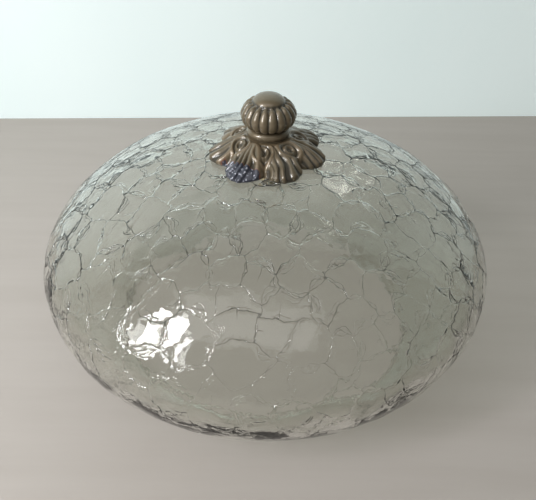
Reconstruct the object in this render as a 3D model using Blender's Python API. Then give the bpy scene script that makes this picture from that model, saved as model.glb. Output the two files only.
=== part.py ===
"""Crackle-glass ceiling-light shade with its cast finial, standing on its open rim.

The frame is metres, +Z up. The origin is the centre of the ground rim that the shade stands on.
The shade is a turned glass shell with a hole in its crown. A threaded tube through that hole
clamps the finial knob, neck ring, rosette and gasket outside against the gasket, washers and nut
inside.
"""

import math

import bmesh
import bpy
from mathutils import Matrix, Vector

MM = 0.001

# Glass shell
BELT_RADIUS = 150.0 * MM  # outer radius at the widest level
BELT_HEIGHT = 62.0 * MM  # height of that level above the rim
CROWN_RISE = 77.0 * MM  # from the belt up to the crown
CROWN_POWER = 1.83  # superellipse power: 2 is an ellipse, less is more pointed
MOUTH_RADIUS = 106.0 * MM  # outer radius of the short upright lip
LIP_HEIGHT = 5.0 * MM
GLASS_WALL = 4.0 * MM
HOLE_RADIUS = 8.0 * MM  # drilled through the crown

# Fits
GAP = 0.3 * MM  # between faces that touch on the real object
THREAD_PITCH = 1.0 * MM  # M10x1 lamp thread

# Threaded tube and what it passes through
STUD_RADIUS = 5.0 * MM
STUD_BORE_RADIUS = 3.5 * MM
STUD_TIP_GAP = 2.5 * MM  # thread run-out left above the stud inside the knob
STUD_TAIL = 2.5 * MM  # stud left below the nut's lowest place
NUT_FREE_TURNS = 8  # thread left below the nut for it to back off along

# Outside stack, from the glass up
OUTER_GASKET_RADIUS = 20.0 * MM
OUTER_GASKET_THICKNESS = 1.5 * MM
ROSETTE_RADIUS = 34.0 * MM  # mean radius of the lobed edge
ROSETTE_LOBES = 7
ROSETTE_FRONT = math.radians(-68.5)  # direction of the front lobe, from +X
LOBE_DEPTH = 2.6 * MM  # how far a lobe stands past the mean radius
ROSETTE_RISE = 12.0 * MM  # top face above the crown
ROSETTE_EDGE = 2.0 * MM  # thickness at the lobed edge
ROSETTE_EDGE_LIFT = 0.6 * MM  # the edge hovers this far off the glass
ROSETTE_NECK_RADIUS = 13.0 * MM
NECK_RING_RADIUS = 13.4 * MM
NECK_RING_HEIGHT = 5.2 * MM
KNOB_RADIUS = 16.6 * MM
KNOB_HEIGHT = 20.6 * MM
KNOB_BELT_RISE = 8.0 * MM  # the widest level above the knob's foot
KNOB_FOOT_RADIUS = 10.2 * MM
KNOB_CAP_WALL = 3.6 * MM  # metal left above the tip of the blind hole
KNOB_GADROONS = 18
GADROON_DEPTH = 0.9 * MM

# Inside stack, from the glass down
INNER_GASKET_RADIUS = 18.0 * MM
INNER_GASKET_THICKNESS = 2.2 * MM
WASHER_RADIUS = 20.0 * MM
WASHER_THICKNESS = 1.5 * MM
LOCK_WASHER_RADIUS = 8.6 * MM
LOCK_WASHER_THICKNESS = 0.8 * MM
LOCK_WASHER_TEETH = 12
NUT_ACROSS_FLATS = 14.0 * MM
NUT_THICKNESS = 4.0 * MM
SLEEVE_FLANGE_DEPTH = 0.8 * MM  # how far the hole sleeve stops short of each glass face

# Facets
GLASS_SEGMENTS = 72
SMALL_SEGMENTS = 36
STEPS_PER_GADROON = 4
STEPS_PER_LOBE = 10

# Colour, roughness, metallic, alpha
FINISHES = {
    "crackle_glass": ((0.86, 0.92, 0.88), 0.05, 0.0, 0.35),
    "aged_bronze": ((0.16, 0.12, 0.07), 0.32, 0.85, 1.0),
    "black_rubber": ((0.03, 0.03, 0.03), 0.8, 0.0, 1.0),
    "zinc_steel": ((0.62, 0.63, 0.65), 0.35, 1.0, 1.0),
    "plain_brass": ((0.72, 0.55, 0.27), 0.3, 1.0, 1.0),
    "white_nylon": ((0.85, 0.84, 0.8), 0.5, 0.0, 1.0),
}


def clear_scene():
    """Removes whatever the file opened with."""
    for obj in list(bpy.data.objects):
        bpy.data.objects.remove(obj, do_unlink=True)


def material(name):
    """A Principled BSDF material from the table of finishes."""
    colour, roughness, metallic, alpha = FINISHES[name]
    made = bpy.data.materials.get(name) or bpy.data.materials.new(name)
    made.use_nodes = True
    shader = made.node_tree.nodes["Principled BSDF"]
    shader.inputs["Base Color"].default_value = (*colour, 1.0)
    shader.inputs["Roughness"].default_value = roughness
    shader.inputs["Metallic"].default_value = metallic
    shader.inputs["Alpha"].default_value = alpha
    return made


# ---------------------------------------------------------------- glass profile


def crown_height(radius, inset=0.0):
    """Height of the crown's outer face at this radius, or of the face inset below it."""
    span = BELT_RADIUS - inset
    rise = CROWN_RISE - inset
    share = min(radius / span, 1.0) ** CROWN_POWER
    return BELT_HEIGHT + rise * (1.0 - share) ** (1.0 / CROWN_POWER)


def skirt_radius(height):
    """Radius of the outer face between the lip and the belt: an ellipse through both."""
    drop = BELT_HEIGHT - LIP_HEIGHT
    semi_depth = drop / math.sqrt(1.0 - (MOUTH_RADIUS / BELT_RADIUS) ** 2)
    return BELT_RADIUS * math.sqrt(1.0 - ((BELT_HEIGHT - height) / semi_depth) ** 2)


def glass_outer_profile():
    """Outer face of the shell from the rim up to the hole, as (radius, height)."""
    skirt_steps, side_steps, top_steps = 6, 6, 6
    profile = [(MOUTH_RADIUS, 0.0)]
    for i in range(skirt_steps):
        share = (i / skirt_steps) ** 1.2
        height = LIP_HEIGHT + (BELT_HEIGHT - LIP_HEIGHT) * share
        profile.append((skirt_radius(height), height))
    shoulder = math.radians(52.0)
    for i in range(side_steps):
        turn = shoulder * i / side_steps
        radius = BELT_RADIUS * math.cos(turn) ** (2.0 / CROWN_POWER)
        profile.append((radius, crown_height(radius)))
    outer = BELT_RADIUS * math.cos(shoulder) ** (2.0 / CROWN_POWER)
    for i in range(top_steps + 1):
        radius = outer + (HOLE_RADIUS - outer) * (i / top_steps) ** 0.8
        profile.append((radius, crown_height(radius)))
    return profile


def offset_profile(profile, distance):
    """The profile moved by distance to its left side, with mitred corners."""
    points = [Vector(p) for p in profile]
    moved = []
    for i, point in enumerate(points):
        before = points[i] - points[i - 1] if i else points[1] - points[0]
        after = points[i + 1] - points[i] if i + 1 < len(points) else before
        normals = [Vector((-d.y, d.x)).normalized() for d in (before, after)]
        middle = (normals[0] + normals[1]).normalized()
        moved.append(point + middle * (distance / middle.dot(normals[0])))
    return [tuple(p) for p in moved]


def glass_outline():
    """Closed cross-section of the shell, with a flat rim and an upright hole wall."""
    outer = glass_outer_profile()
    inner = offset_profile(outer, GLASS_WALL)
    inner[0] = (inner[0][0], 0.0)
    inner[-1] = (HOLE_RADIUS, inner[-1][1])
    return outer + inner[::-1]


def inner_crown_height(radius):
    """Height of the shell's inner face near the hole, where it lies almost level."""
    return crown_height(radius) - GLASS_WALL


# ---------------------------------------------------------------- turning


def turned(name, outline, finish, segments=SMALL_SEGMENTS):
    """A closed solid: the outline, as (radius, height) points, spun round Z."""
    mesh = bpy.data.meshes.new(name)
    body = bmesh.new()
    corners = [body.verts.new((radius, 0.0, height)) for radius, height in outline]
    edges = [
        body.edges.new((corner, corners[(i + 1) % len(corners)]))
        for i, corner in enumerate(corners)
        if not (corner.co.x == 0.0 and corners[(i + 1) % len(corners)].co.x == 0.0)
    ]
    bmesh.ops.spin(
        body,
        geom=corners + edges,
        cent=(0.0, 0.0, 0.0),
        axis=(0.0, 0.0, 1.0),
        angle=math.tau,
        steps=segments,
        use_merge=True,
    )
    bmesh.ops.remove_doubles(body, verts=body.verts, dist=0.001 * MM)
    bmesh.ops.recalc_face_normals(body, faces=body.faces)
    body.to_mesh(mesh)
    body.free()
    mesh.shade_smooth()
    mesh.set_sharp_from_angle(angle=math.radians(32.0))
    mesh.materials.append(material(finish))
    obj = bpy.data.objects.new(name, mesh)
    bpy.context.scene.collection.objects.link(obj)
    return obj


def reshape(obj, moved):
    """Moves each vertex of a turned solid by a rule on its radius, angle and height."""
    for vertex in obj.data.vertices:
        radius = math.hypot(vertex.co.x, vertex.co.y)
        if radius < GAP:
            continue
        angle = math.atan2(vertex.co.y, vertex.co.x)
        new_radius, new_height = moved(radius, angle, vertex.co.z)
        vertex.co = (
            new_radius * math.cos(angle),
            new_radius * math.sin(angle),
            new_height,
        )
    obj.data.update()


def ring_outline(inner, outer, bottom, top):
    """A flat ring's cross-section."""
    return [(outer, bottom), (outer, top), (inner, top), (inner, bottom)]


# ---------------------------------------------------------------- levels of the stack


CROWN = BELT_HEIGHT + CROWN_RISE
PASSAGE_RADIUS = STUD_RADIUS + GAP
ROSETTE_TOP = CROWN + ROSETTE_RISE
NECK_RING_BOTTOM = ROSETTE_TOP + GAP
KNOB_BOTTOM = NECK_RING_BOTTOM + NECK_RING_HEIGHT + GAP
KNOB_TOP = KNOB_BOTTOM + KNOB_HEIGHT
KNOB_HOLE_TIP = KNOB_TOP - KNOB_CAP_WALL
KNOB_HOLE_TOP = KNOB_HOLE_TIP - PASSAGE_RADIUS / 2  # the drill's cone starts here
STUD_TOP = KNOB_HOLE_TOP - STUD_TIP_GAP
INNER_GASKET_BOTTOM = (
    inner_crown_height(INNER_GASKET_RADIUS) - GAP - INNER_GASKET_THICKNESS
)
WASHER_TOP = INNER_GASKET_BOTTOM - GAP
LOCK_WASHER_TOP = WASHER_TOP - WASHER_THICKNESS - GAP
NUT_TOP = LOCK_WASHER_TOP - LOCK_WASHER_THICKNESS - GAP
STUD_BOTTOM = NUT_TOP - NUT_THICKNESS - NUT_FREE_TURNS * THREAD_PITCH - STUD_TAIL


# ---------------------------------------------------------------- the pieces


def glass_shade():
    """The shell itself."""
    turned("glass_shade", glass_outline(), "crackle_glass", GLASS_SEGMENTS)


def hole_sleeve():
    """A thin centring sleeve between the threaded tube and the edge of the glass hole."""
    top = crown_height(HOLE_RADIUS) - SLEEVE_FLANGE_DEPTH
    bottom = inner_crown_height(HOLE_RADIUS) + SLEEVE_FLANGE_DEPTH
    outline = ring_outline(PASSAGE_RADIUS, HOLE_RADIUS - GAP, bottom, top)
    turned("hole_sleeve", outline, "white_nylon")


def outer_gasket():
    """A rubber ring that follows the crown's curve under the rosette."""
    levels = [PASSAGE_RADIUS, HOLE_RADIUS, OUTER_GASKET_RADIUS / 2, OUTER_GASKET_RADIUS]
    under = [(r, crown_height(r) + GAP) for r in reversed(levels)]
    over = [(r, crown_height(r) + GAP + OUTER_GASKET_THICKNESS) for r in levels]
    turned("outer_gasket", under + over, "black_rubber")


def rosette():
    """The cast rosette: a tent over the crown with a lobed edge that hangs just off the glass."""
    seat_radius = OUTER_GASKET_RADIUS + 4 * GAP
    seat_lift = GAP + OUTER_GASKET_THICKNESS + GAP
    span = ROSETTE_RADIUS - ROSETTE_NECK_RADIUS
    edge_top = crown_height(ROSETTE_RADIUS) + ROSETTE_EDGE_LIFT + ROSETTE_EDGE
    under = [
        (PASSAGE_RADIUS, crown_height(PASSAGE_RADIUS) + seat_lift),
        (seat_radius / 2, crown_height(seat_radius / 2) + seat_lift),
        (seat_radius, crown_height(seat_radius) + seat_lift),
        (seat_radius + GAP, crown_height(seat_radius) + ROSETTE_EDGE_LIFT),
        (ROSETTE_RADIUS, crown_height(ROSETTE_RADIUS) + ROSETTE_EDGE_LIFT),
    ]
    tent_steps = 6
    over = []
    for i in range(tent_steps + 1):
        share = i / tent_steps
        radius = ROSETTE_RADIUS - span * share
        over.append((radius, edge_top + (ROSETTE_TOP - edge_top) * share**0.9))
    outline = under + over + [(PASSAGE_RADIUS, ROSETTE_TOP)]
    made = turned(
        "rosette", outline, "aged_bronze", segments=ROSETTE_LOBES * STEPS_PER_LOBE
    )

    def lobed(radius, angle, height):
        """Pushes the edge out into lobes, keeping its height over the curved glass."""
        share = max(0.0, (radius - seat_radius) / (ROSETTE_RADIUS - seat_radius))
        wave = abs(math.cos(ROSETTE_LOBES * angle / 2)) * 2.0 - 1.0
        new_radius = radius + LOBE_DEPTH * wave * share
        return new_radius, height + crown_height(new_radius) - crown_height(radius)

    reshape(made, lobed)
    made.data.transform(Matrix.Rotation(ROSETTE_FRONT, 4, "Z"))


def neck_ring():
    """The turned ring between the rosette and the knob, with a rounded outside."""
    roll_steps = 6
    half = NECK_RING_HEIGHT / 2
    outline = [(PASSAGE_RADIUS, NECK_RING_BOTTOM)]
    for i in range(roll_steps + 1):
        turn = -math.pi / 2 + math.pi * i / roll_steps
        outline.append(
            (
                NECK_RING_RADIUS - half + half * math.cos(turn),
                NECK_RING_BOTTOM + half + half * math.sin(turn),
            )
        )
    outline.append((PASSAGE_RADIUS, NECK_RING_BOTTOM + NECK_RING_HEIGHT))
    turned("neck_ring", outline, "aged_bronze")


def finial_knob():
    """The cast melon-shaped knob, with a blind tapped hole for the threaded tube."""
    foot_steps, cap_steps = 6, 9
    outline = []
    for i in range(foot_steps):
        turn = math.pi / 2 * i / foot_steps
        radius = KNOB_FOOT_RADIUS + (KNOB_RADIUS - KNOB_FOOT_RADIUS) * math.sin(turn)
        outline.append((radius, KNOB_BOTTOM + KNOB_BELT_RISE * (1.0 - math.cos(turn))))
    for i in range(cap_steps):
        turn = math.pi / 2 * i / cap_steps
        height = KNOB_BELT_RISE + (KNOB_HEIGHT - KNOB_BELT_RISE) * math.sin(turn)
        outline.append((KNOB_RADIUS * math.cos(turn), KNOB_BOTTOM + height))
    outline += [
        (0.0, KNOB_TOP),
        (0.0, KNOB_HOLE_TIP),
        (PASSAGE_RADIUS, KNOB_HOLE_TOP),
        (PASSAGE_RADIUS, KNOB_BOTTOM),
    ]
    made = turned(
        "finial_knob",
        outline,
        "aged_bronze",
        segments=KNOB_GADROONS * STEPS_PER_GADROON,
    )

    def gadrooned(radius, angle, height):
        """Raises rounded ribs round the belt that fade out at the top and the foot."""
        if radius <= KNOB_FOOT_RADIUS:
            return radius, height
        belt = (radius - KNOB_FOOT_RADIUS) / (KNOB_RADIUS - KNOB_FOOT_RADIUS)
        rib = abs(math.cos(KNOB_GADROONS * angle / 2)) - 1.0
        return radius + GADROON_DEPTH * rib * belt, height

    reshape(made, gadrooned)


def threaded_stud():
    """The hollow threaded tube that everything is clamped on, at its crest diameter."""
    outline = ring_outline(STUD_BORE_RADIUS, STUD_RADIUS, STUD_BOTTOM, STUD_TOP)
    turned("threaded_stud", outline, "plain_brass")


def inner_gasket():
    """A rubber ring that fills the curve between the glass and the flat washer."""
    levels = [PASSAGE_RADIUS, INNER_GASKET_RADIUS / 2, INNER_GASKET_RADIUS]
    over = [(r, inner_crown_height(r) - GAP) for r in reversed(levels)]
    outline = [(INNER_GASKET_RADIUS, INNER_GASKET_BOTTOM)] + over
    turned(
        "inner_gasket",
        outline + [(PASSAGE_RADIUS, INNER_GASKET_BOTTOM)],
        "black_rubber",
    )


def inner_washer():
    """The broad steel washer that spreads the clamp over the glass."""
    outline = ring_outline(
        PASSAGE_RADIUS, WASHER_RADIUS, WASHER_TOP - WASHER_THICKNESS, WASHER_TOP
    )
    turned("inner_washer", outline, "zinc_steel")


def lock_washer():
    """An external-tooth lock washer."""
    outline = ring_outline(
        PASSAGE_RADIUS,
        LOCK_WASHER_RADIUS,
        LOCK_WASHER_TOP - LOCK_WASHER_THICKNESS,
        LOCK_WASHER_TOP,
    )
    made = turned(
        "lock_washer", outline, "zinc_steel", segments=LOCK_WASHER_TEETH * 4
    )
    root = (PASSAGE_RADIUS + LOCK_WASHER_RADIUS) / 2

    def toothed(radius, angle, height):
        """Draws every second pair of edge points in to the tooth root."""
        step = round(angle / (math.tau / (LOCK_WASHER_TEETH * 4))) % 4
        return (root if radius > root and step >= 2 else radius), height

    reshape(made, toothed)


def lock_nut():
    """The thin hexagon nut, chamfered where its corners meet the face below."""
    corner = NUT_ACROSS_FLATS / 2 / math.cos(math.pi / 6)
    outline = ring_outline(PASSAGE_RADIUS, corner, NUT_TOP - NUT_THICKNESS, NUT_TOP)
    made = turned("lock_nut", outline, "plain_brass", segments=SMALL_SEGMENTS)

    def hexagonal(radius, angle, height):
        """Draws the outside in to six flats."""
        if radius <= PASSAGE_RADIUS + GAP:
            return radius, height
        sector = math.pi / 3
        return NUT_ACROSS_FLATS / 2 / math.cos((angle % sector) - sector / 2), height

    reshape(made, hexagonal)


def main():
    clear_scene()
    glass_shade()
    hole_sleeve()
    outer_gasket()
    rosette()
    neck_ring()
    finial_knob()
    threaded_stud()
    inner_gasket()
    inner_washer()
    lock_washer()
    lock_nut()


main()
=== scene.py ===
"""The looks of a crackle-glass ceiling shade and its cast finial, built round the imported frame.

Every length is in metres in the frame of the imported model: the shade stands on its open rim, +Z
runs up through the crown to the finial, and -Y faces the camera.
"""

import logging
import math
import random
from dataclasses import dataclass, field
from enum import Enum
from typing import Callable, ClassVar, Iterable, Sequence

import bmesh
import bpy
import numpy as np
from mathutils import Matrix, Vector, geometry, kdtree, noise


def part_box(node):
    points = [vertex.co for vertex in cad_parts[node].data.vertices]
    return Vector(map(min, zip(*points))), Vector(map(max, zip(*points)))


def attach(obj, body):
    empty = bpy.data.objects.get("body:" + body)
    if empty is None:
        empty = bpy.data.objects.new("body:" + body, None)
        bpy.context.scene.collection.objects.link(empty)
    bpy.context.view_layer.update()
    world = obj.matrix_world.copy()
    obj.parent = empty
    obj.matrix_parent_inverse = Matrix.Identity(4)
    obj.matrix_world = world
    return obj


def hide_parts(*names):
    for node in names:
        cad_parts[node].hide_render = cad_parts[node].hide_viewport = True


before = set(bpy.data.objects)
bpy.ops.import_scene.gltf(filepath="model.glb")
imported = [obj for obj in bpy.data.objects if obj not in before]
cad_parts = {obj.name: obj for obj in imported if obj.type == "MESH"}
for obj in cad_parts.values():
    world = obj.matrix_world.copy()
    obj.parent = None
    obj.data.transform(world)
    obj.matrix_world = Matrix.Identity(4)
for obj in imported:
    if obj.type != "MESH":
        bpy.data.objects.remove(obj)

LOG = logging.getLogger("shade")
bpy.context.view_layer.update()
MM = 0.001
Point = tuple[float, float]
Triple = tuple[float, float, float]
Colour = Triple


class Body(Enum):
    """The moving bodies that pieces ride on."""

    SHADE = "shade"
    ROSETTE = "rosette_plate"
    KNOB = "knob"
    STUD = "stud"
    CLAMP_GASKET = "clamp_gasket"
    CLAMP_NUT = "clamp_nut"


class Slot(Enum):
    """The record's material slots."""

    GLASS = "crackle_glass"
    BRONZE = "aged_bronze"
    BRASS = "plain_brass"
    ZINC = "zinc_steel"
    RUBBER = "black_rubber"
    NYLON = "white_nylon"


# ---------------------------------------------------------------- node trees


class Nodes:
    """A thin hand on a node tree: adds nodes, sets their inputs and joins them."""

    def __init__(self, tree: bpy.types.NodeTree) -> None:
        """Keeps the tree.

        Args:
            tree: the material's or the group's node tree.
        """
        self.tree = tree

    def add(self, kind: str, inputs: dict | None = None, **settings: object) -> bpy.types.Node:
        """Adds a node.

        Args:
            kind: the node's type name.
            inputs: socket name or index to a plain value or another node's output socket.
            settings: the node's own properties.

        Returns:
            The new node.
        """
        node = self.tree.nodes.new(kind)
        for name, value in settings.items():
            setattr(node, name, value)
        self.put(node, inputs or {})
        return node

    def put(self, node: bpy.types.Node, inputs: dict) -> None:
        """Sets or joins inputs of a node.

        Args:
            node: the node.
            inputs: socket name or index to a plain value or another node's output socket.
        """
        for name, value in inputs.items():
            if isinstance(value, bpy.types.NodeSocket):
                self.tree.links.new(value, node.inputs[name])
            else:
                node.inputs[name].default_value = value

    def place(self) -> bpy.types.NodeSocket:
        """Object coordinates."""
        return self.add("ShaderNodeTexCoord").outputs["Object"]

    def value(self, name: str) -> bpy.types.NodeSocket:
        """The piece's own number of that name at each point."""
        return self.add("ShaderNodeAttribute", attribute_name=name).outputs["Fac"]

    def math(self, operation: str, *values: object) -> bpy.types.NodeSocket:
        """Adds a Math node and returns its output."""
        inputs = dict(enumerate(values))
        return self.add("ShaderNodeMath", inputs, operation=operation).outputs[0]

    def noise(
        self, vector: object, scale: float, detail: float = 3.0, rough: float = 0.5
    ) -> bpy.types.NodeSocket:
        """Adds a noise texture and returns its factor output."""
        inputs = {"Vector": vector, "Scale": scale, "Detail": detail, "Roughness": rough}
        return self.add("ShaderNodeTexNoise", inputs).outputs[0]

    def step(self, value: object, low: float, high: float) -> bpy.types.NodeSocket:
        """Maps low..high to 0..1 with soft ends, and returns the output."""
        inputs = {"Value": value, "From Min": low, "From Max": high}
        return self.add("ShaderNodeMapRange", inputs, interpolation_type="SMOOTHSTEP").outputs[0]

    def mix(self, factor: object, first: object, second: object) -> bpy.types.NodeSocket:
        """Mixes two colours, each a socket or plain red, green and blue.

        Args:
            factor: the share of the second, a socket or a number.
            first: one colour.
            second: the other colour.

        Returns:
            The mixed colour's socket.
        """
        first, second = (
            (*colour, 1.0) if isinstance(colour, tuple) else colour for colour in (first, second)
        )
        node = self.add("ShaderNodeMix", {0: factor, 6: first, 7: second}, data_type="RGBA")
        return node.outputs[2]

    def bump(
        self, height: object, distance: float, strength: float = 1.0, normal: object = None
    ) -> bpy.types.NodeSocket:
        """Adds a Bump node.

        Args:
            height: the height's socket.
            distance: how far a height of 1 stands up.
            strength: how much of it shows.
            normal: the normal that it lies on top of, if there is one.

        Returns:
            The bumped normal's socket.
        """
        inputs = {"Height": height, "Distance": distance, "Strength": strength}
        if normal is not None:
            inputs["Normal"] = normal
        return self.add("ShaderNodeBump", inputs).outputs[0]

    def group(self, tree: bpy.types.NodeTree, **inputs: object) -> bpy.types.Node:
        """Adds a shared effect with these inputs."""
        return self.add("ShaderNodeGroup", inputs, node_tree=tree)

    def clear_where(
        self, masks: Iterable[object], shader: bpy.types.Node, tint: Colour = (1.0, 1.0, 1.0)
    ) -> None:
        """Makes a material clear where any of its masks is 1.

        Args:
            masks: output sockets.
            shader: the material's own shader.
            tint: the colour that light takes on as it passes.
        """
        clear = self.add("ShaderNodeBsdfTransparent", {"Color": (*tint, 1.0)})
        seen = shader.outputs[0]
        for mask in masks:
            inputs = {0: mask, 1: seen, 2: clear.outputs[0]}
            seen = self.add("ShaderNodeMixShader", inputs).outputs[0]
        self.put(self.tree.nodes["Material Output"], {"Surface": seen})


class Effects:
    """The node groups that several finishes share, each built once."""

    _made: dict[str, bpy.types.NodeTree] = {}

    @classmethod
    def _group(
        cls, name: str, inputs: dict[str, float], outputs: Sequence[str], fill: Callable
    ) -> bpy.types.NodeTree:
        """Builds a group at first use.

        Args:
            name: the group's name.
            inputs: float input names and their defaults.
            outputs: float output names.
            fill: called with a Nodes hand, the group's Object coordinates and its input sockets by
                name. It gives back an output socket for each output name.

        Returns:
            The node group.
        """
        if name in cls._made:
            return cls._made[name]
        tree = bpy.data.node_groups.new(name, "ShaderNodeTree")
        for key, value in inputs.items():
            socket = tree.interface.new_socket(key, in_out="INPUT", socket_type="NodeSocketFloat")
            socket.default_value = value
        for key in outputs:
            tree.interface.new_socket(key, in_out="OUTPUT", socket_type="NodeSocketFloat")
        hand = Nodes(tree)
        start, end = hand.add("NodeGroupInput"), hand.add("NodeGroupOutput")
        hand.put(end, fill(hand, hand.place(), start.outputs))
        cls._made[name] = tree
        return tree

    @classmethod
    def casting(cls) -> bpy.types.NodeTree:
        """Sand-cast skin: broad unevenness with fine grain on top, as one height.

        Returns:
            The node group.
        """

        def fill(hand: Nodes, place: object, given: object) -> dict:
            """Adds the grain to the unevenness.

            Args:
                hand: a hand on the group's node tree.
                place: Object coordinates.
                given: the group's inputs by name.

            Returns:
                The socket of each output.
            """
            broad = hand.noise(place, given["Broad"], 2.0)
            fine = hand.noise(place, given["Fine"], 4.0, 0.65)
            return {"Height": hand.math("MULTIPLY_ADD", fine, given["Grain"], broad)}

        sizes = {"Broad": 260.0, "Fine": 1500.0, "Grain": 0.35}
        return cls._group("cast_skin", sizes, ["Height"], fill)

    @classmethod
    def wear(cls) -> bpy.types.NodeTree:
        """Where a finish has rubbed thin or gathered dirt, from a ridge value and two noises.

        Returns:
            The node group.
        """

        def fill(hand: Nodes, place: object, given: object) -> dict:
            """Breaks the ridge value up and takes its high and low parts.

            Args:
                hand: a hand on the group's node tree.
                place: Object coordinates.
                given: the group's inputs by name.

            Returns:
                The socket of each output.
            """
            patch = hand.noise(place, given["Patch"], 3.0, 0.6)
            ridge = hand.math("MULTIPLY_ADD", patch, 0.5, given["Ridge"])
            rubbed = hand.step(ridge, 1.02, 1.3)
            hollow = hand.math("SUBTRACT", 1.15, ridge)
            return {"Rubbed": rubbed, "Dirt": hand.step(hollow, 0.3, 0.75)}

        return cls._group("rub_and_dirt", {"Ridge": 0.5, "Patch": 180.0}, ["Rubbed", "Dirt"], fill)

    @classmethod
    def turning(cls) -> bpy.types.NodeTree:
        """Fine rings left by a lathe or a die, as a height along Z and the radius.

        Returns:
            The node group.
        """

        def fill(hand: Nodes, place: object, given: object) -> dict:
            """Makes waves of the radius and the height together.

            Args:
                hand: a hand on the group's node tree.
                place: Object coordinates.
                given: the group's inputs by name.

            Returns:
                The socket of each output.
            """
            parts = hand.add("ShaderNodeSeparateXYZ", {0: place})
            flat = hand.add("ShaderNodeCombineXYZ", {0: parts.outputs[0], 1: parts.outputs[1]})
            radius = hand.add("ShaderNodeVectorMath", {0: flat.outputs[0]}, operation="LENGTH")
            along = hand.math("ADD", radius.outputs["Value"], parts.outputs[2])
            wave = hand.math("SINE", hand.math("MULTIPLY", along, given["Rings"]))
            return {"Height": hand.math("MULTIPLY", wave, hand.noise(place, 900.0, 3.0))}

        return cls._group("turning_marks", {"Rings": 24000.0}, ["Height"], fill)


# ---------------------------------------------------------------- finishes


@dataclass(frozen=True)
class Finish:
    """What every finish has: a name and a way to make its material."""

    name: str

    def material(self) -> bpy.types.Material:
        """Makes the material, or gives back the one that was made before.

        Returns:
            The material.
        """
        made = bpy.data.materials.get(f"{self.name}_finish")
        if made is None:
            made = bpy.data.materials.new(f"{self.name}_finish")
            made.use_nodes = True
            self.dress(Nodes(made.node_tree), made.node_tree.nodes["Principled BSDF"])
        return made

    def dress(self, hand: Nodes, shader: bpy.types.Node) -> None:
        """Fills the material's node tree. Each finish has its own.

        Args:
            hand: a hand on the material's node tree.
            shader: its Principled BSDF.
        """
        raise NotImplementedError


@dataclass(frozen=True)
class CrackleGlassFinish(Finish):
    """Clear soda glass with a faint grey-green body, ripples and a fire-polished skin."""

    tint: Colour = (0.865, 0.87, 0.83)
    crack_shade_and_dust: Colour = (0.045, 0.042, 0.036)
    lamp_tint: Colour = (0.86, 0.865, 0.85)
    refraction: float = 1.5
    ripple: float = 0.48 * MM

    def dress(self, hand: Nodes, shader: bpy.types.Node) -> None:
        """Glass for what is seen, and a plain clear film for the light that lamps send through.

        Args:
            hand: a hand on the material's node tree.
            shader: its Principled BSDF.
        """
        place = hand.place()
        # Where the crack value is high the colour goes dark: painted shade standing in for the dark
        # lines that light gives in the grooves, with some dust in them.
        packed = hand.math("MULTIPLY", hand.step(hand.value("crack"), 0.08, 0.7), 0.92)
        patchy = hand.math("MULTIPLY", packed, hand.step(hand.noise(place, 45.0, 3.0), 0.3, 0.62))
        broad = hand.bump(hand.noise(place, 70.0, 2.0), self.ripple, 0.55)
        fine = hand.bump(hand.noise(place, 700.0, 3.0, 0.6), 0.03 * MM, 0.5, broad)
        colour = hand.mix(patchy, self.tint, self.crack_shade_and_dust)
        hand.put(shader, {"Base Color": colour, "Roughness": 0.012, "IOR": self.refraction})
        hand.put(shader, {"Transmission Weight": 1.0, "Normal": fine})
        path = hand.add("ShaderNodeLightPath").outputs
        hand.clear_where((path["Is Shadow Ray"], path["Is Diffuse Ray"]), shader, self.lamp_tint)


@dataclass(frozen=True)
class BronzeFinish(Finish):
    """Lacquered brown patina on a casting, rubbed on its ridges and dark in its hollows."""

    patina: Colour = (0.205, 0.153, 0.093)
    rubbed: Colour = (0.235, 0.178, 0.108)
    dirt: Colour = (0.058, 0.050, 0.034)
    bare: Colour = (0.040, 0.044, 0.062)
    glint_fleck: Colour = (0.62, 0.64, 0.72)
    rust: Colour = (0.23, 0.085, 0.05)
    aged: Colour = (0.118, 0.100, 0.060)
    worn: bool = False

    def dress(self, hand: Nodes, shader: bpy.types.Node) -> None:
        """Patina, wear and dirt, with bare metal where the lacquer is gone, flecked with painted
        glints.

        Args:
            hand: a hand on the material's node tree.
            shader: its Principled BSDF.
        """
        place = hand.place()
        wear = hand.group(Effects.wear(), Ridge=hand.value("ridge"), Patch=190.0)
        skin = hand.group(Effects.casting(), Broad=320.0, Fine=1600.0, Grain=0.3)
        tone = hand.mix(hand.noise(place, 120.0, 3.0), self.patina, self.aged)
        colour = hand.mix(wear.outputs["Dirt"], tone, self.dirt)
        colour = hand.mix(wear.outputs["Rubbed"], colour, self.rubbed)
        dull = hand.math("MULTIPLY_ADD", wear.outputs["Dirt"], 0.25, 0.4)
        normal = hand.bump(skin.outputs["Height"], 0.30 * MM, 0.75)
        if self.worn:
            flake = hand.noise(place, 620.0, 5.0, 0.7)
            mask = hand.math("SUBTRACT", hand.value("bare"), 0.35)
            edge = hand.math("MULTIPLY_ADD", flake, 0.7, mask)
            gone, rim = hand.step(edge, 0.48, 0.56), hand.step(edge, 0.32, 0.46)
            colour = hand.mix(rim, colour, self.rust)
            # Small pale flecks on the bare metal are painted glints, standing in for the sparkle of
            # its crumpled face.
            cells = hand.add("ShaderNodeTexVoronoi", {"Vector": place, "Scale": 1150.0})
            bright = hand.step(cells.outputs["Color"], 0.78, 0.92)
            colour = hand.mix(gone, colour, hand.mix(bright, self.bare, self.glint_fleck))
            crumple = hand.math("MULTIPLY", gone, hand.noise(place, 520.0, 4.0, 0.6))
            normal = hand.bump(crumple, 0.9 * MM, 0.9, normal)
            dull = hand.math("MULTIPLY_ADD", gone, -0.12, dull)
        hand.put(shader, {"Base Color": colour, "Roughness": dull, "Normal": normal})
        hand.put(shader, {"Metallic": 0.3, "Coat Weight": 0.75, "Coat Roughness": 0.13})


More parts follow.
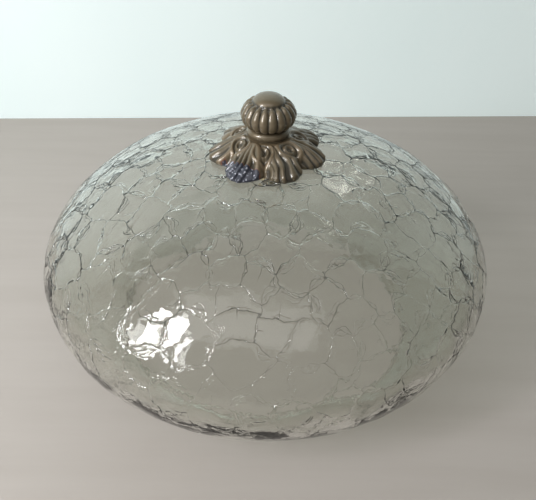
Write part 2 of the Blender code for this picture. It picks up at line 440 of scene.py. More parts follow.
@dataclass(frozen=True)
class TurnedMetalFinish(Finish):
    """Bright turned or stamped metal with handling stains."""

    colour: Colour
    stain: Colour
    rough: float = 0.28
    rings: float = 24000.0

    def dress(self, hand: Nodes, shader: bpy.types.Node) -> None:
        """Metal with lathe rings and patchy tarnish.

        Args:
            hand: a hand on the material's node tree.
            shader: its Principled BSDF.
        """
        place = hand.place()
        patch = hand.step(hand.noise(place, 150.0, 4.0, 0.6), 0.45, 0.75)
        colour = hand.mix(patch, self.colour, self.stain)
        rings = hand.group(Effects.turning(), Rings=self.rings)
        dull = hand.math("MULTIPLY_ADD", patch, 0.2, self.rough)
        normal = hand.bump(rings.outputs["Height"], 0.02 * MM, 0.4)
        hand.put(shader, {"Base Color": colour, "Roughness": dull, "Normal": normal})
        hand.put(shader, {"Metallic": 1.0})


@dataclass(frozen=True)
class MouldedFinish(Finish):
    """A dull moulded rubber or nylon with a fine grain and dust."""

    colour: Colour
    dust: Colour
    rough: float = 0.7

    def dress(self, hand: Nodes, shader: bpy.types.Node) -> None:
        """Moulded skin with dusty patches.

        Args:
            hand: a hand on the material's node tree.
            shader: its Principled BSDF.
        """
        place = hand.place()
        patch = hand.step(hand.noise(place, 220.0, 4.0, 0.65), 0.5, 0.8)
        colour = hand.mix(patch, self.colour, self.dust)
        skin = hand.group(Effects.casting(), Broad=500.0, Fine=2600.0, Grain=0.5)
        dull = hand.math("MULTIPLY_ADD", patch, 0.2, self.rough)
        normal = hand.bump(skin.outputs["Height"], 0.05 * MM, 0.4)
        hand.put(shader, {"Base Color": colour, "Roughness": dull, "Normal": normal})


@dataclass(frozen=True)
class PaintedBoardFinish(Finish):
    """The paint of the board under the shade and of the wall behind it, clear from its back."""

    colour: Colour = (0.49, 0.445, 0.405)
    shade: Colour = (0.46, 0.415, 0.375)
    glow: float = 0.0

    def dress(self, hand: Nodes, shader: bpy.types.Node) -> None:
        """Brushed paint with long faint streaks.

        Args:
            hand: a hand on the material's node tree.
            shader: its Principled BSDF.
        """
        place = hand.place()
        scale = hand.add("ShaderNodeMapping", {"Vector": place, "Scale": (1.5, 14.0, 1.0)})
        streak = hand.step(hand.noise(scale.outputs[0], 3.0, 4.0, 0.6), 0.3, 0.75)
        colour, normal = hand.mix(streak, self.colour, self.shade), hand.bump(streak, 0.1 * MM, 0.3)
        hand.put(shader, {"Base Color": colour, "Roughness": 0.6, "Normal": normal})
        hand.put(shader, {"Emission Color": (*self.colour, 1.0), "Emission Strength": self.glow})
        behind = hand.add("ShaderNodeNewGeometry").outputs["Backfacing"]
        hand.clear_where((behind,), shader)


# ---------------------------------------------------------------- modelling moves


def smoothstep(values: np.ndarray, low: float, high: float) -> np.ndarray:
    """0 below low, 1 above high, and a smooth step between them."""
    share = np.clip((values - low) / (high - low), 0.0, 1.0)
    return share * share * (3.0 - 2.0 * share)


def waviness(points: np.ndarray, scale: float | Point | Sequence[float]) -> np.ndarray:
    """Smooth noise between -1 and 1 at each point, with this many waves to a metre."""
    return np.array([noise.noise(Vector(point)) for point in points * np.array(scale)])


class Bench:
    """Modelling moves that several pieces need, made with Blender's own operators."""

    WELD = 0.001 * MM

    @staticmethod
    def clear() -> None:
        """Leaves object mode with nothing selected."""
        if bpy.context.object is not None and bpy.context.object.mode != "OBJECT":
            bpy.ops.object.mode_set(mode="OBJECT")
        bpy.ops.object.select_all(action="DESELECT")

    @staticmethod
    def take(obj: bpy.types.Object) -> None:
        """Makes one object the only selected and active one.

        Args:
            obj: that object.
        """
        Bench.clear()
        obj.select_set(True)
        bpy.context.view_layer.objects.active = obj

    @staticmethod
    def lay_out(
        name: str, points: Sequence, edges: Sequence = (), faces: Sequence = ()
    ) -> bpy.types.Object:
        """Makes a piece from points, edges and faces.

        Args:
            name: the piece's name.
            points: (x, y, z) of each point.
            edges: pairs of point numbers.
            faces: point numbers of each face.

        Returns:
            The new object, selected and active.
        """
        mesh = bpy.data.meshes.new(name)
        mesh.from_pydata(points, edges, faces)
        obj = bpy.data.objects.new(name, mesh)
        bpy.context.scene.collection.objects.link(obj)
        Bench.take(obj)
        return obj

    @staticmethod
    def face_out() -> None:
        """Turns every face of the active object outwards. It is in edit mode before and after."""
        bpy.ops.mesh.select_all(action="SELECT")
        bpy.ops.mesh.normals_make_consistent(inside=False)

    @staticmethod
    def lathe(name: str, outline: Sequence[Point], steps: int, closed: bool) -> bpy.types.Object:
        """Spins an outline round Z.

        Args:
            name: the piece's name.
            outline: (radius, height) points in order.
            steps: how many facets go round.
            closed: whether the last point joins the first, as on a ring.

        Returns:
            The new object, welded and with its faces pointing out.
        """
        count = len(outline)
        pairs = [(i, (i + 1) % count) for i in range(count if closed else count - 1)]
        obj = Bench.lay_out(name, [(r, 0.0, z) for r, z in outline], pairs)
        bpy.ops.object.mode_set(mode="EDIT")
        bpy.ops.mesh.select_all(action="SELECT")
        bpy.ops.mesh.spin(steps=steps, angle=math.tau, center=(0, 0, 0), axis=(0, 0, 1))
        bpy.ops.mesh.select_all(action="SELECT")
        bpy.ops.mesh.remove_doubles(threshold=Bench.WELD)
        Bench.face_out()
        bpy.ops.object.mode_set(mode="OBJECT")
        return obj

    @staticmethod
    def smooth(obj: bpy.types.Object, angle: float) -> None:
        """Shades the piece smooth apart from edges sharper than angle, in degrees."""
        Bench.take(obj)
        bpy.ops.object.shade_smooth_by_angle(angle=math.radians(angle))

    @staticmethod
    def weigh(obj: bpy.types.Object) -> None:
        """Lets broad faces set the shading, so that plates look flat right up to their edges.

        Args:
            obj: the piece.
        """
        Bench.take(obj)
        weight = obj.modifiers.new("weigh", "WEIGHTED_NORMAL")
        weight.keep_sharp = True
        bpy.ops.object.modifier_apply(modifier=weight.name)

    @staticmethod
    def values(obj: bpy.types.Object, name: str, numbers: Iterable[float]) -> None:
        """Keeps one number for each point as an attribute that a finish can read."""
        attribute = obj.data.attributes.new(name, "FLOAT", "POINT")
        attribute.data.foreach_set("value", np.fromiter(numbers, np.float32))

    @staticmethod
    def hand_over(obj: bpy.types.Object, finish: Finish, body: Body, slot: Slot, node: str) -> None:
        """Dresses a finished piece and gives it to the frame.

        Args:
            obj: the piece, in place.
            finish: its finish.
            body: the body it moves with.
            slot: the record's slot for its finish; not used.
            node: the CAD node that it stands for.
        """
        obj.data.materials.clear()
        obj.data.materials.append(finish.material())
        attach(obj, body.value)
        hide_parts(node)
        LOG.info("%s: %d faces on %s", obj.name, len(obj.data.polygons), body.value)


# ---------------------------------------------------------------- the glass


@dataclass(frozen=True)
class GlassSizes:
    """Sizes of the shell, as designed."""

    belt_radius: float = 150.0 * MM
    belt_height: float = 62.0 * MM
    crown_rise: float = 77.0 * MM
    crown_power: float = 1.83
    mouth_radius: float = 106.0 * MM
    lip_height: float = 5.0 * MM
    hole_radius: float = 8.0 * MM
    wall: float = 4.0 * MM
    rim_round: float = 0.6 * MM

    def crown_height(self, radius: float) -> float:
        """Height of the outer face of the crown at a distance from Z."""
        share = min(radius / self.belt_radius, 1.0) ** self.crown_power
        return self.belt_height + self.crown_rise * (1.0 - share) ** (1.0 / self.crown_power)


class Meridian:
    """The shell's outer face as one line from the crown hole to the rim, measured along itself.

    A place on the face is (s, turn): the length along the line and the angle round Z. The chart is
    a flat map of the face that keeps angles true, so triangles laid out on it stay well shaped.
    """

    STEP = 0.25 * MM
    CROWN_POINTS, SKIRT_POINTS = 1200, 600
    SOFTENING, CORNER_REACH = 2.0 * MM, 8.0 * MM
    CHART_START = 10.0

    def __init__(self, sizes: GlassSizes) -> None:
        """Measures the line.

        Args:
            sizes: the shell's sizes.
        """
        self.sizes = sizes
        line = np.array(self._trace())
        gaps = np.hypot(*np.diff(line, axis=0).T)
        along = np.concatenate([[0.0], np.cumsum(gaps)])
        count = int(along[-1] / self.STEP) + 1
        self.s = np.linspace(0.0, along[-1], count)
        radius, height = (np.interp(self.s, along, line[:, i]) for i in (0, 1))
        self.r, self.z = self._rounded(radius), self._rounded(height)
        slope_r, slope_z = np.gradient(self.r, self.s), np.gradient(self.z, self.s)
        size = np.hypot(slope_r, slope_z)
        self.nr, self.nz = -slope_z / size, slope_r / size
        turn = np.concatenate([[0.0], np.cumsum(np.diff(self.s) * 2 / (self.r[1:] + self.r[:-1]))])
        self.chart_radius = self.CHART_START * np.exp(turn)
        self.sight = np.arctan2(self.z - sizes.belt_height, self.r)
        self.area = np.cumsum(self.r)
        self.length = float(self.s[-1])

    def _trace(self) -> list[Point]:
        """Draws the line: superellipse, ellipse, upright lip.

        Returns:
            Close-set (radius, height) points.
        """
        size = self.sizes
        power = 2.0 / size.crown_power
        start = math.acos((size.hole_radius / size.belt_radius) ** (1.0 / power))
        points = []
        for i in range(self.CROWN_POINTS):
            turn = start * (1.0 - i / self.CROWN_POINTS)
            radius = size.belt_radius * math.cos(turn) ** power
            points.append((radius, size.belt_height + size.crown_rise * math.sin(turn) ** power))
        drop = size.belt_height - size.lip_height
        end = math.acos(size.mouth_radius / size.belt_radius)
        depth = drop / math.sin(end)
        for i in range(self.SKIRT_POINTS + 1):
            turn = end * i / self.SKIRT_POINTS
            height = size.belt_height - depth * math.sin(turn)
            points.append((size.belt_radius * math.cos(turn), height))
        points.append((size.mouth_radius, size.rim_round))
        return points

    def _rounded(self, values: np.ndarray) -> np.ndarray:
        """Rounds off the corner above the lip.

        Args:
            values: the radius or the height along the line.

        Returns:
            The same, softened near that corner.
        """
        reach = int(self.SOFTENING / self.STEP)
        kernel = np.hanning(2 * reach + 3)
        padded = np.pad(values, reach + 1, mode="edge")
        soft = np.convolve(padded, kernel / kernel.sum(), mode="valid")
        corner = self.s[-1] - (self.sizes.lip_height - self.sizes.rim_round)
        near = np.clip(1.5 - 1.5 * np.abs(self.s - corner) / self.CORNER_REACH, 0.0, 1.0)
        near *= np.clip((self.s[-1] - self.s) / self.SOFTENING, 0.0, 1.0)
        return values * (1.0 - near) + soft * near

    def place(self, s: np.ndarray, turn: np.ndarray, lift: float | np.ndarray = 0.0) -> np.ndarray:
        """Finds places in space.

        Args:
            s: the length along the line of each place.
            turn: its angle round Z.
            lift: how far it is lifted off the face along the normal.

        Returns:
            A row of x, y and z for each place.
        """
        radius = np.interp(s, self.s, self.r) + lift * np.interp(s, self.s, self.nr)
        height = np.interp(s, self.s, self.z) + lift * np.interp(s, self.s, self.nz)
        return np.column_stack([radius * np.cos(turn), radius * np.sin(turn), height])

    def normals(self, s: np.ndarray, turn: np.ndarray) -> np.ndarray:
        """Finds the outward unit normals at places.

        Args:
            s: the length along the line of each place.
            turn: its angle round Z.

        Returns:
            A row of x, y and z for each place.
        """
        out = np.interp(s, self.s, self.nr)
        up = np.interp(s, self.s, self.nz)
        return np.column_stack([out * np.cos(turn), out * np.sin(turn), up])

    def locate(self, points: np.ndarray) -> tuple[np.ndarray, np.ndarray]:
        """Finds which places points near the face are at, seen from the middle of the belt's plane.

        Args:
            points: a row of x, y and z for each point.

        Returns:
            The s of each point and the turn of each point.
        """
        radius = np.hypot(points[:, 0], points[:, 1])
        sight = np.arctan2(points[:, 2] - self.sizes.belt_height, radius)
        s = np.interp(sight, self.sight[::-1], self.s[::-1])
        return s, np.arctan2(points[:, 1], points[:, 0])

    def chart(self, s: np.ndarray, turn: np.ndarray) -> np.ndarray:
        """Flat positions of places on the chart."""
        radius = np.interp(s, self.s, self.chart_radius)
        return np.column_stack([radius * np.cos(turn), radius * np.sin(turn)])

    def random_place(self, rng: random.Random) -> tuple[float, float]:
        """A random (s, turn), as likely on any part of the face as on another of the same area."""
        s = float(np.interp(rng.random() * self.area[-1], self.area, self.s))
        return s, rng.uniform(-math.pi, math.pi)


@dataclass
class Crack:
    """One crack: its middle line on the face, half its width, and its depth along it."""

    points: np.ndarray
    half_width: float
    depth: np.ndarray


@dataclass
class CrackNetwork:
    """The cracks of ice glass: the borders between irregular plates, doubled in places."""

    CLOSING_RING: ClassVar[Point] = (90.0 * MM, -6.0 * MM)

    face: Meridian
    seed: int = 11
    broad_spacing: float = 30.0 * MM
    broad_tries: int = 320
    fine_spacing: float = 14.8 * MM
    fine_tries: int = 5200
    point_gap: float = 1.5 * MM
    end_gap: float = 3.0 * MM
    meeting_reach: float = 6.0 * MM
    roundness: float = 0.75
    jitter: float = 0.9 * MM
    strand_odds: tuple[int, ...] = (16, 28, 26, 19, 11)
    short_odds: tuple[int, ...] = (60, 40, 0, 0, 0)
    waves: tuple[Point, ...] = (
        (6.5 * MM, 0.34 * MM),
        (2.9 * MM, 0.2 * MM),
        (15.0 * MM, 0.6 * MM),
    )
    cracks: list[Crack] = field(default_factory=list)

    def build(self) -> list[Crack]:
        """Draws the whole network.

        Returns:
            Every crack.
        """
        self.rng = random.Random(self.seed)
        for start, end in self._borders():
            self._border(start, end)
        return self.cracks

    def _seeds(self) -> np.ndarray:
        """Sets the middles of the plates: broad ones first, then small ones in what room is left.

        Returns:
            A row of x, y and z for each middle, and for a ring and a peak that close the body.
        """
        placed = np.empty((0, 3))
        for spacing, tries in (
            (self.broad_spacing, self.broad_tries),
            (self.fine_spacing, self.fine_tries),
        ):
            for _ in range(tries):
                s, turn = self.face.random_place(self.rng)
                point = self.face.place(np.array([s]), np.array([turn]))
                if not len(placed) or np.min(np.sum((placed - point) ** 2, axis=1)) > spacing**2:
                    placed = np.vstack([placed, point])
        radius, height = self.CLOSING_RING
        below = [
            (radius * math.cos(turn), radius * math.sin(turn), height)
            for turn in np.linspace(0, math.tau, 24, endpoint=False)
        ]
        return np.vstack([placed, below, [(0.0, 0.0, self.face.sizes.crown_height(0.0))]])

    def _borders(self) -> list[tuple[np.ndarray, np.ndarray]]:
        """Finds the borders between plates, as the edges that two faces of the seeds' hull share.

        Returns:
            Both ends of each border.
        """
        hull = bmesh.new()
        for point in self._seeds():
            hull.verts.new(point)
        bmesh.ops.convex_hull(hull, input=list(hull.verts))
        hull.faces.ensure_lookup_table()
        middles = np.array([self._meeting(part) for part in hull.faces])
        s, turn = self.face.locate(middles)
        places = self.face.place(s, turn)
        low, high = self.end_gap, self.face.length - 2.0 * self.end_gap
        found = []
        for edge in hull.edges:
            ends = [part.index for part in edge.link_faces]
            if len(ends) == 2 and all(low < s[i] < high for i in ends):
                found.append((places[ends[0]], places[ends[1]]))
        hull.free()
        return found

    def _meeting(self, part: bmesh.types.BMFace) -> Vector:
        """Finds where three plates meet: between the circumcentre and the middle of their triangle.

        Args:
            part: the hull's face whose corners are the plates' middles.

        Returns:
            The point, moved a little at random.
        """
        a, b, c = (v.co for v in part.verts[:3])
        middle = (a + b + c) / 3.0
        one, two = b - a, c - a
        cross = one.cross(two)
        out = two.length_squared * cross.cross(one) * -1.0
        out += one.length_squared * two.cross(cross) * -1.0
        centre = a + out / (-2.0 * cross.length_squared)
        reach = (centre - middle).length
        share = min(1.0, self.meeting_reach / reach) if reach > 1e-9 else 1.0
        jitter = Vector([self.rng.gauss(0.0, self.jitter) for _ in range(3)])
        return middle + (centre - middle) * self.roundness * share + jitter

    def _border(self, start: np.ndarray, end: np.ndarray) -> None:
        """Draws one border: a bundle of nearly parallel strands, and in places a spur off it.

        Args:
            start: its first point.
            end: its last point.
        """
        rng = self.rng
        length = float(np.linalg.norm(end - start))
        bow = rng.gauss(0.0, 0.10) * length
        odds = self.strand_odds if length > 6.0 * MM else self.short_odds
        side, spread = rng.choice((-1.0, 1.0)), 0.0
        for order in range(rng.choices((1, 2, 3, 4, 5), odds)[0]):
            if order == 0:
                self._crack(start, end, bow, rng.uniform(0.45, 1.0))
                continue
            spread += side * rng.uniform(0.9, 2.0) * MM
            reach = (rng.uniform(0.0, 0.35), rng.uniform(0.65, 1.0))
            self._crack(start, end, bow + spread, rng.uniform(0.1, 0.7), reach)
        if length > 8.0 * MM and rng.random() < 0.5:
            middle = (start + end) / 2.0
            away = np.cross(end - start, middle - [0, 0, self.face.sizes.belt_height])
            away *= rng.choice((-1.0, 1.0)) * rng.uniform(4.0, 10.0) * MM / np.linalg.norm(away)
            tip = middle + away + (end - start) * rng.uniform(-0.5, 0.5)
            self._crack(middle, tip, rng.gauss(0.0, 1.0) * MM, 0.4, spur=True)

    def _crack(
        self,
        start: np.ndarray,
        end: np.ndarray,
        bow: float,
        weight: float,
        reach: tuple[float, float] = (0.0, 1.0),
        spur: bool = False,
    ) -> None:
        """Draws one crack between two points of the face.

        Args:
            start: its first point.
            end: its last point.
            bow: how far it bows out sideways.
            weight: its width and depth, from 0 for a hairline to 1 for an open crack.
            reach: the shares of the way at which it begins and stops.
            spur: whether it dies out towards its end.
        """
        length = float(np.linalg.norm(end - start))
        if length < 1.2 * MM:
            return
        rng = self.rng
        count = max(3, int(length * (reach[1] - reach[0]) / self.point_gap) + 2)
        share = np.linspace(*reach, count)
        phases = [rng.uniform(0, math.tau) for _ in range(3)]
        wander = sum(
            size * np.sin(math.tau * share * length / span + phase)
            for (span, size), phase in zip(self.waves, phases)
        )
        offset = 4.0 * bow * share * (1.0 - share)
        offset += wander * np.sin(math.pi * np.clip(share, 0.0, 1.0)) ** 0.6
        middle = (start + end) / 2.0 - np.array([0.0, 0.0, self.face.sizes.belt_height])
        side = np.cross(end - start, middle)
        side /= np.linalg.norm(side)
        line = start + (end - start) * share[:, None] + side * offset[:, None]
        s, turn = self.face.locate(line)
        keep = (s > 2.5 * MM) & (s < self.face.length - 5.0 * MM)
        if keep.sum() < 3:
            return
        depth = (0.18 + 0.38 * weight) * MM * np.ones(count)
        depth *= 0.82 + 0.18 * np.sin(math.tau * share * length / (5.0 * MM) + phases[0])
        heights = np.interp(s, self.face.s, self.face.z)
        depth *= 0.45 + 0.55 * smoothstep(heights, 45.0 * MM, 95.0 * MM)
        if spur:
            depth *= 1.0 - share**2
        points = self.face.place(s, turn)[keep]
        self.cracks.append(Crack(points, (0.19 + 0.20 * weight) * MM, depth[keep]))


@dataclass
class GlassShade:
    """The blown shell: a cracked outer face, a smooth wavy inner face and a ground rim."""

    sizes: GlassSizes = GlassSizes()
    finish: CrackleGlassFinish = CrackleGlassFinish("crackle_glass")
    round_steps: int = 144
    plate_gap: float = 3.8 * MM
    inner_row_gap: float = 5.0 * MM
    lumps: float = 0.45 * MM
    folds: float = 1.5 * MM
    side_cell: float = 0.3 * MM
    side_clear: float = 0.8
    plate_clear: float = 1.6 * MM
    reach: float = 0.7 * MM
    full_shade_and_dust: float = 0.32 * MM

    def build(self) -> None:
        """Makes the shell and hands it over."""
        self.face = Meridian(self.sizes)
        self.cracks = CrackNetwork(self.face).build()
        LOG.info("%d cracks", len(self.cracks))
        places, edges = self._layout()
        chart = self.face.chart(*places)
        flat = [Vector(point) for point in chart.tolist()]
        laid, _, faces, origins, _, _ = geometry.delaunay_2d_cdt(flat, edges, [], 0, 0.02, True)
        LOG.info("outer face: %d points, %d triangles", len(laid), len(faces))
        obj = self._shell([list(v) for v in laid], faces, origins)
        Bench.smooth(obj, 60.0)
        Bench.weigh(obj)
        Bench.hand_over(obj, self.finish, Body.SHADE, Slot.GLASS, "glass_shade")

    def _layout(self) -> tuple[tuple[np.ndarray, np.ndarray], list[tuple[int, int]]]:
        """Sets the points of the outer face and the edges that run along cracks and both rims.

        Returns:
            ((s, turn) of each point, pairs of point numbers). The first points are the ring at the
            hole, then the ring at the rim.
        """
        face = self.face
        count = self.round_steps
        steps = np.arange(count) * math.tau / count
        ring = np.concatenate([face.place(0 * steps + s, steps) for s in (0.0, face.length)])
        edges = [(i, (i + 1) % count) for i in range(count)]
        edges += [(count + i, count + (i + 1) % count) for i in range(count)]
        rows, total = [ring], len(ring)
        for crack in self.cracks:
            size = len(crack.points)
            edges += [(total + i, total + i + 1) for i in range(size - 1)]
            rows.append(crack.points)
            total += size
        self._index_cracks()
        rows += [self._beside(), self._between()]
        points = np.vstack([row for row in rows if len(row)])
        s, turn = face.locate(points)
        s[:count], s[count : 2 * count] = 0.0, face.length
        return (s, turn), edges

    def _index_cracks(self) -> None:
        """Samples the cracks closely, for the distance from any point to the nearest crack."""
        samples, widths, depths = [], [], []
        for crack in self.cracks:
            for share in (0.0, 0.25, 0.5, 0.75):
                line = crack.points[:-1] * (1 - share) + crack.points[1:] * share
                samples.append(line)
                depths.append(crack.depth[:-1] * (1 - share) + crack.depth[1:] * share)
                widths.append(np.full(len(line), crack.half_width))
            samples.append(crack.points[-1:])
            depths.append(crack.depth[-1:])
            widths.append(np.array([crack.half_width]))
        self.sample_points = np.vstack(samples)
        self.sample_widths, self.sample_depths = np.concatenate(widths), np.concatenate(depths)
        self.tree = kdtree.KDTree(len(self.sample_points))
        for i, point in enumerate(self.sample_points):
            self.tree.insert(point, i)
        self.tree.balance()

    def _beside(self) -> np.ndarray:
        """Sets points along both sides of each crack, where no other crack is near.

        Returns:
            A row of x, y and z for each point.
        """
        found, taken = [], set()
        for crack in self.cracks:
            s, turn = self.face.locate(crack.points)
            along = np.gradient(crack.points, axis=0)
            side = np.cross(along, self.face.normals(s, turn))
            side /= np.linalg.norm(side, axis=1)[:, None]
            for way in (-1.0, 1.0):
                for point in crack.points + side * way * crack.half_width:
                    cell = tuple(int(math.floor(value / self.side_cell)) for value in point)
                    _, _, distance = self.tree.find(point)
                    if cell in taken or distance < self.side_clear * crack.half_width:
                        continue
                    taken.add(cell)
                    found.append(point)
        return np.array(found)

    def _between(self) -> np.ndarray:
        """Sets points in the middle of plates, on rows with every second row shifted.

        Returns:
            A row of x, y and z for each point.
        """
        found = []
        rows = int(self.face.length / self.plate_gap)
        for row in range(1, rows):
            s = self.face.length * row / rows
            radius = float(np.interp(s, self.face.s, self.face.r))
            count = max(12, int(math.tau * radius / self.plate_gap))
            turns = (np.arange(count) + 0.5 * (row % 2)) * math.tau / count
            for point in self.face.place(np.full(count, s), turns):
                if self.tree.find(point)[2] > self.plate_clear:
                    found.append(point)
        return np.array(found)

    def _depths(self, points: np.ndarray) -> np.ndarray:
        """Works out how far the cracks sink the outer face.

        Args:
            points: a row of x, y and z for each point of the face.

        Returns:
            The depth at each point.
        """
        depths = np.zeros(len(points))
        for i, point in enumerate(points):
            for _, index, distance in self.tree.find_range(point, self.reach):
                share = 1.0 - distance / self.sample_widths[index]
                depths[i] = max(depths[i], share * self.sample_depths[index])
        return depths

    def _lumps(self, points: np.ndarray) -> np.ndarray:
        """The slow unevenness of blown glass at each point."""
        broad, small = (waviness(points, scale) for scale in (36.0, 78.0))
        return self.lumps * (broad + 0.75 * small)

    def _shell(self, laid: list, faces: list, origins: list) -> bpy.types.Object:
        """Puts the outer face, the rim, the inner face and the hole's wall together.

        Args:
            laid: the outer face's points on the chart.
            faces: its triangles.
            origins: for each point, the numbers that it had before the triangles were laid out.

        Returns:
            The shell.
        """
        face, count = self.face, self.round_steps
        chart = np.array(laid)
        radius = np.hypot(chart[:, 0], chart[:, 1])
        s = np.interp(radius, face.chart_radius, face.s)
        turn = np.arctan2(chart[:, 1], chart[:, 0])
        base = face.place(s, turn)
        fade = np.clip(s / (6 * MM), 0, 1) * np.clip((face.length - s) / (9 * MM), 0, 1)
        depths = self._depths(base)
        points = face.place(s, turn, (self._lumps(base) - depths) * fade)
        new_of = {old: new for new, olds in enumerate(origins) for old in olds}
        hole = [new_of[i] for i in range(count)]
        rim = [new_of[count + i] for i in range(count)]
        mouth = set(hole)
        kept = [tri for tri in faces if not mouth.issuperset(tri)]
        mesh_points, mesh_faces = points.tolist(), [tuple(tri) for tri in kept]
        last = rim
        for ring in self._inner_rings():
            start = len(mesh_points)
            mesh_points += ring.tolist()
            new = list(range(start, start + count))
            mesh_faces += self._bridge(last, new)
            last = new
        mesh_faces += self._bridge(last, hole)
        obj = Bench.lay_out("crackle_shade", mesh_points, faces=mesh_faces)
        # The crack value darkens the grooves with painted shade and some dust; it is faint on the
        # lower skirt and full near the crown.
        dust = depths / self.full_shade_and_dust * fade
        dust *= 0.14 + 0.86 * smoothstep(points[:, 2], 72.0 * MM, 122.0 * MM)
        Bench.values(obj, "crack", np.pad(dust, (0, len(mesh_points) - len(points))))
        bpy.ops.object.mode_set(mode="EDIT")
        Bench.face_out()
        bpy.ops.object.mode_set(mode="OBJECT")
        return obj

    @staticmethod
    def _bridge(first: list[int], second: list[int]) -> list[tuple[int, int, int, int]]:
        """Quads between two rings of equal length."""
        ahead = first[1:] + first[:1], second[1:] + second[:1]
        return list(zip(first, *ahead, second))

    def _inner_rings(self) -> list[np.ndarray]:
        """Sets the rings of points from the rim's outer edge up the inner face to the hole.

        Returns:
            Each ring, as a row of x, y and z for each point.
        """
        face, size = self.face, self.sizes
        turns = np.arange(self.round_steps) * math.tau / self.round_steps
        soft = size.rim_round
        outer, inner = size.mouth_radius, size.mouth_radius - size.wall
        profile = [
            (outer - 0.3 * soft, 0.3 * soft),
            (outer - soft, 0.0),
            (inner + soft, 0.0),
            (inner + 0.3 * soft, 0.3 * soft),
            (inner, soft),
        ]
        rings = [self._ring(radius, height, turns) for radius, height in profile]
        rows = int(face.length / self.inner_row_gap)
        for row in range(rows, -1, -1):
            s = np.full(self.round_steps, face.length * row / rows)
            if s[0] > face.length - 3.0 * MM:
                continue
            ring = face.place(s, turns, -size.wall)
            fade = np.clip(s / (8 * MM), 0, 1) * np.clip((face.length - s) / (14 * MM), 0, 1)
            low = float(smoothstep(ring[:1, 2], 122.0 * MM, 62.0 * MM)[0])
            sag = self.folds * low * waviness(ring, (60.0, 60.0, 9.0))
            lift = -size.wall + fade * (1.3 * self._lumps(ring + 0.31) + sag)
            ring = face.place(s, turns, lift)
            if row == 0:
                ring = self._ring(size.hole_radius, float(ring[0, 2]), turns)
            rings.append(ring)
        return rings

    @staticmethod
    def _ring(radius: float, height: float, turns: np.ndarray) -> np.ndarray:
        """One level ring of points."""
        level = np.full(len(turns), height)
        return np.column_stack([radius * np.cos(turns), radius * np.sin(turns), level])


# ---------------------------------------------------------------- the finial


@dataclass(frozen=True)
class CrownSizes:
    """Levels above the glass, as designed."""

    passage: float = 5.3 * MM
    rosette_top: float = 151.0 * MM
    ring_bottom: float = 151.3 * MM
    ring_height: float = 5.2 * MM
    ring_radius: float = 13.4 * MM
    knob_bottom: float = 156.8 * MM


class Turned:
    """A turned body with relief raised along its outline's normals.

    The outline is spun with Blender's own tool and every point then moves by a rule that knows how
    far along the outline the point is and which way it faces.
    """

    def __init__(self, name: str, outline: Sequence[Point], steps: int, closed: bool) -> None:
        """Spins the outline.

        Args:
            name: the piece's name.
            outline: (radius, height) points in order.
            steps: how many facets go round.
            closed: whether the last point joins the first.
        """
        self.obj = Bench.lathe(name, outline, steps, closed)
        points = np.array(outline)
        ahead, behind = np.roll(points, -1, axis=0), np.roll(points, 1, axis=0)
        if not closed:
            ahead[-1], behind[0] = points[-1], points[0]
        along = ahead - behind
        along /= np.maximum(np.hypot(along[:, 0], along[:, 1]), 1e-9)[:, None]
        tree = kdtree.KDTree(len(points))
        for i, (radius, height) in enumerate(points):
            tree.insert((radius, 0.0, height), i)
        tree.balance()
        places = np.array([v.co for v in self.obj.data.vertices])
        self.radius = np.hypot(places[:, 0], places[:, 1])
        self.angle = np.arctan2(places[:, 1], places[:, 0])
        self.height = places[:, 2]
        self.index = np.array([tree.find((r, 0.0, z))[1] for r, z in zip(self.radius, self.height)])
        self.out = np.column_stack([along[self.index, 1], -along[self.index, 0]])

    def move(self, out: np.ndarray, up: np.ndarray) -> None:
        """Moves every point.

        Args:
            out: how far each goes away from Z.
            up: how far it goes up.
        """
        self.radius = np.maximum(self.radius + out, 0.0)
        self.height = self.height + up
        places = np.column_stack(
            [self.radius * np.cos(self.angle), self.radius * np.sin(self.angle), self.height]
        )
        self.obj.data.vertices.foreach_set("co", places.astype(np.float32).ravel())
        self.obj.data.update()

    def raise_by(self, lift: np.ndarray) -> None:
        """Moves every point along the outline's normal at that point."""
        self.move(self.out[:, 0] * lift, self.out[:, 1] * lift)


